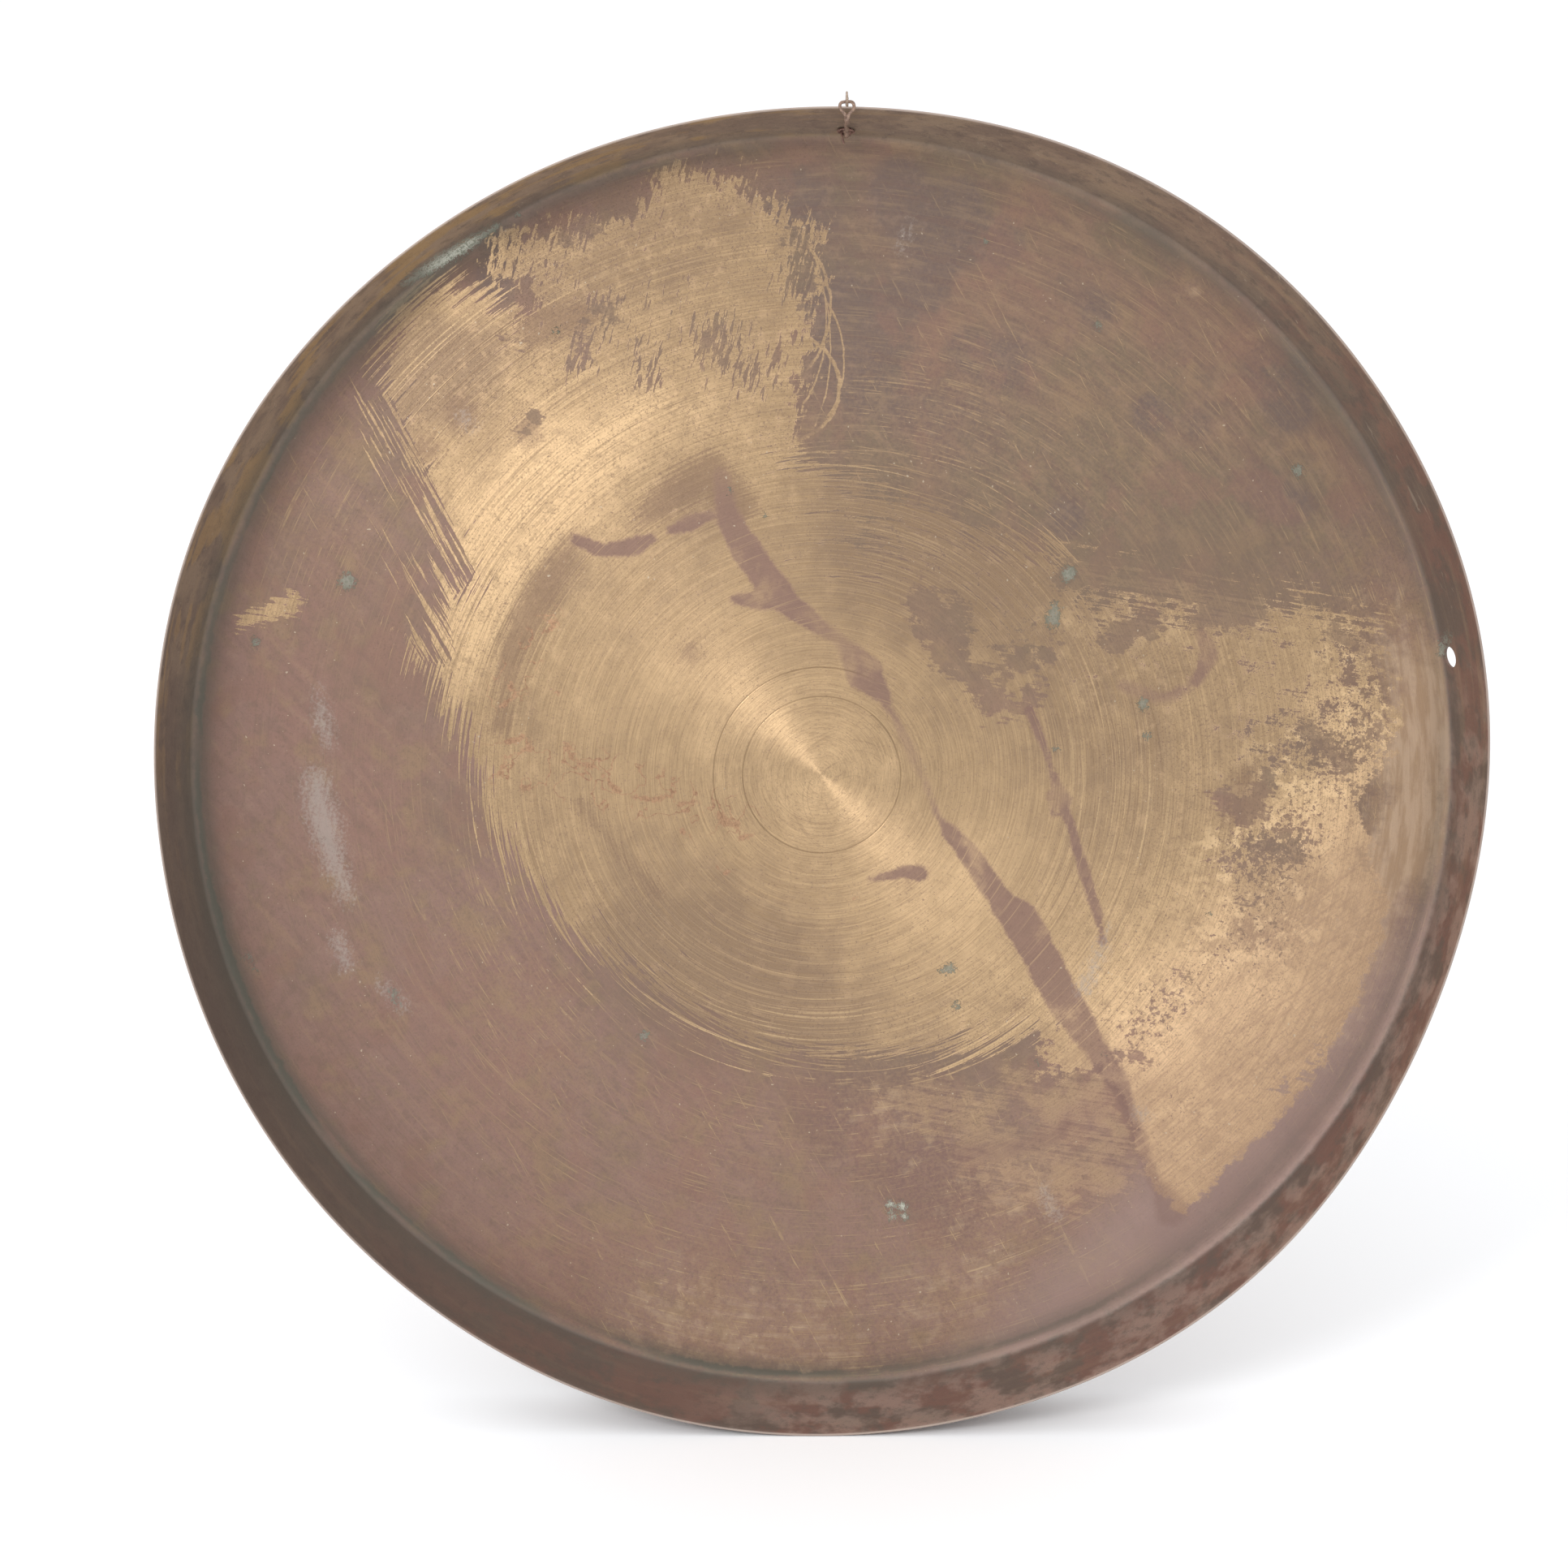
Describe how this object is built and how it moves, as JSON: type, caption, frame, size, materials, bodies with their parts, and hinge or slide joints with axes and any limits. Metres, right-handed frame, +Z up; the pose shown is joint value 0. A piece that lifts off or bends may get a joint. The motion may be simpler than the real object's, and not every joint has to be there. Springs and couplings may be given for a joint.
{
  "type": "tam tam gong",
  "caption": "Shallow hand-beaten bronze gong with a flared, slightly out-of-round rim, hung by a twisted iron wire hanger through a hole in its wall.",
  "frame": {"origin": "middle of the struck face, the outer face of the plate", "axes": "+Z up as the gong hangs at rest, with its weight under the eye; the struck face looks towards +Y and 8.5 degrees down, so the dish opens towards -Y; +X to the right when looking into the open dish"},
  "size_m": [0.5989, 0.1307, 0.6032],
  "materials": {
    "aged_bronze": "worn, with brown and purple patina, polished patches, drip stains and traces of verdigris",
    "rusted_iron": "rusted wire with orange and grey scale",
    "copper_wire": "dull, purple-red tarnish",
    "ring_iron": "light rust over worn wire"
  },
  "bodies": {
    "hook": {"hook_ring": "ring_iron"},
    "hanger": {"hanger_wire": "rusted_iron", "binding_wire": "copper_wire"},
    "gong": {"gong_disc": "aged_bronze"}
  },
  "joints": [
    {"name": "eye_swing", "type": "hinge", "parent": "hook", "child": "hanger", "pos_m": [0.011, -0.00759, 0.30672], "axis": [1, 0, 0], "range_deg": [-30, 30]},
    {"name": "gong_swivel", "type": "hinge", "parent": "hanger", "child": "gong", "pos_m": [0.011, 0.032, 0.291], "axis": [0, 0, 1], "range_deg": [-10, 10]}
  ]
}
